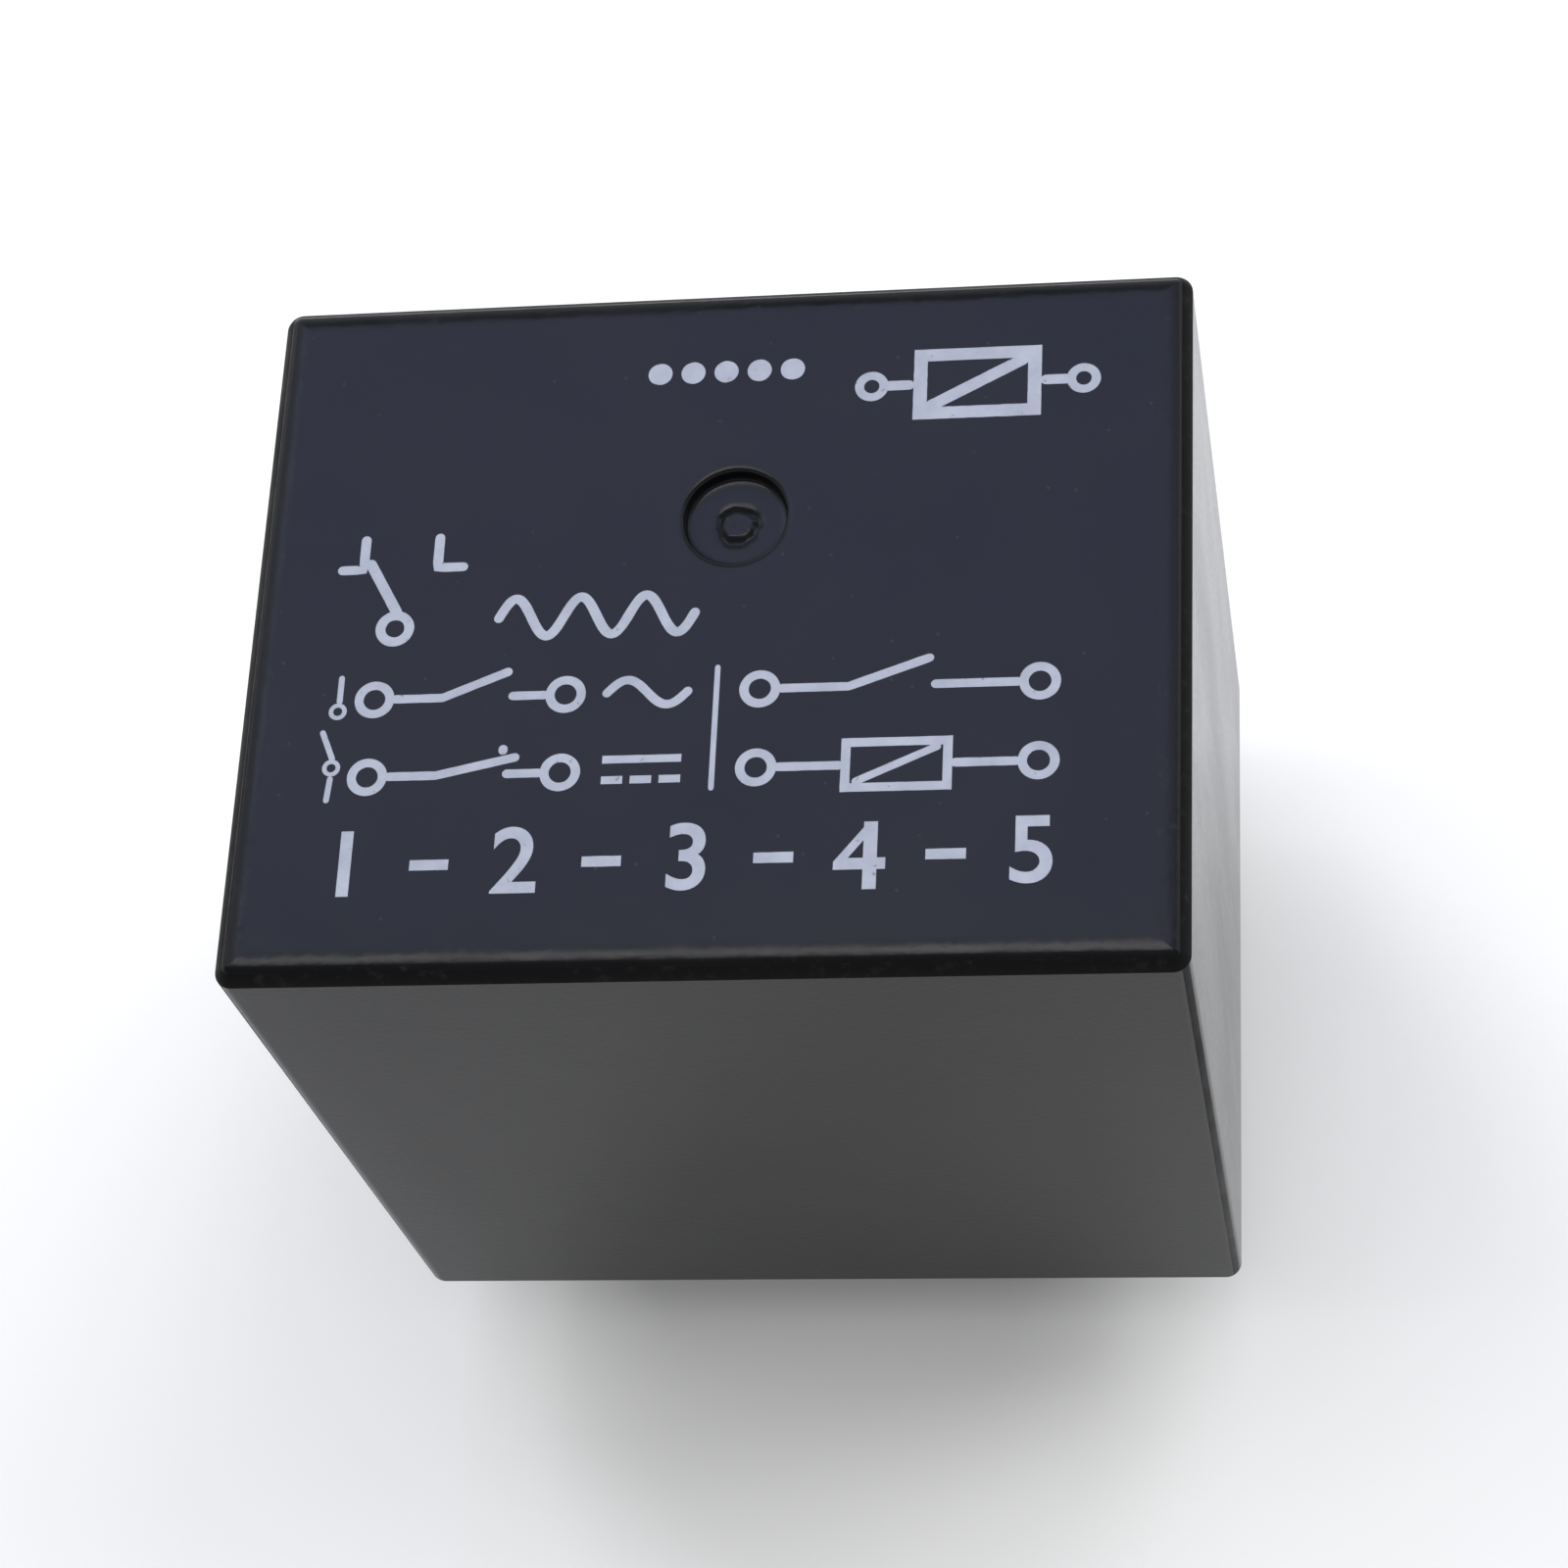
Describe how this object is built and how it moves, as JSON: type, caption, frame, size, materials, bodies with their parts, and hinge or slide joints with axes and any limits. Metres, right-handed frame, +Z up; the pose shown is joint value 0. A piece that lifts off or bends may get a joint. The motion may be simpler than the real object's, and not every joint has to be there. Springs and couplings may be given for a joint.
{
  "type": "pcb power relay",
  "caption": "Sealed box relay for a circuit board: a coil, a hinged armature and a changeover contact under a black rounded cover, standing on solder pins.",
  "frame": {"origin": "middle of the footprint, on the cover's rim that sits on the circuit board", "axes": "+X from the hinge end to the contact end, +Z up out of the board, pins point to -Z"},
  "size_m": [0.0206, 0.0164, 0.0238],
  "materials": {
    "cover_plastic": "satin moulded",
    "base_plastic": "matt moulded",
    "resin": "glossy poured",
    "bobbin_plastic": "satin moulded",
    "copper_wire": "enamelled wire",
    "tinned_pin": "tinned",
    "plated_iron": "zinc plated",
    "spring_bronze": "rolled",
    "contact_silver": "satin",
    "tinned_strip": "stamped, pin ends tinned",
    "print_ink": "pad print"
  },
  "bodies": {
    "frame": {"cover": "cover_plastic", "base": "base_plastic", "sealing_resin": "resin", "bobbin": "bobbin_plastic", "coil_winding": "copper_wire", "coil_lead_a": "copper_wire", "coil_lead_b": "copper_wire", "coil_pin_a": "tinned_pin", "coil_pin_b": "tinned_pin", "core": "plated_iron", "yoke": "plated_iron", "com_terminal": "tinned_strip", "no_terminal": "tinned_strip", "no_contact": "contact_silver", "nc_terminal": "tinned_strip", "nc_contact": "contact_silver"},
    "armature": {"armature": "plated_iron", "contact_spring": "spring_bronze", "moving_contact": "contact_silver"}
  },
  "joints": [
    {"name": "armature_hinge", "type": "hinge", "parent": "frame", "child": "armature", "pos_m": [-0.0079, 0, 0.0152], "axis": [0, 1, 0], "range_deg": [0, 3.2], "stiffness_Nm_per_rad": 0.03, "springref_deg": -4.58, "deforming": ["contact_spring"]}
  ]
}
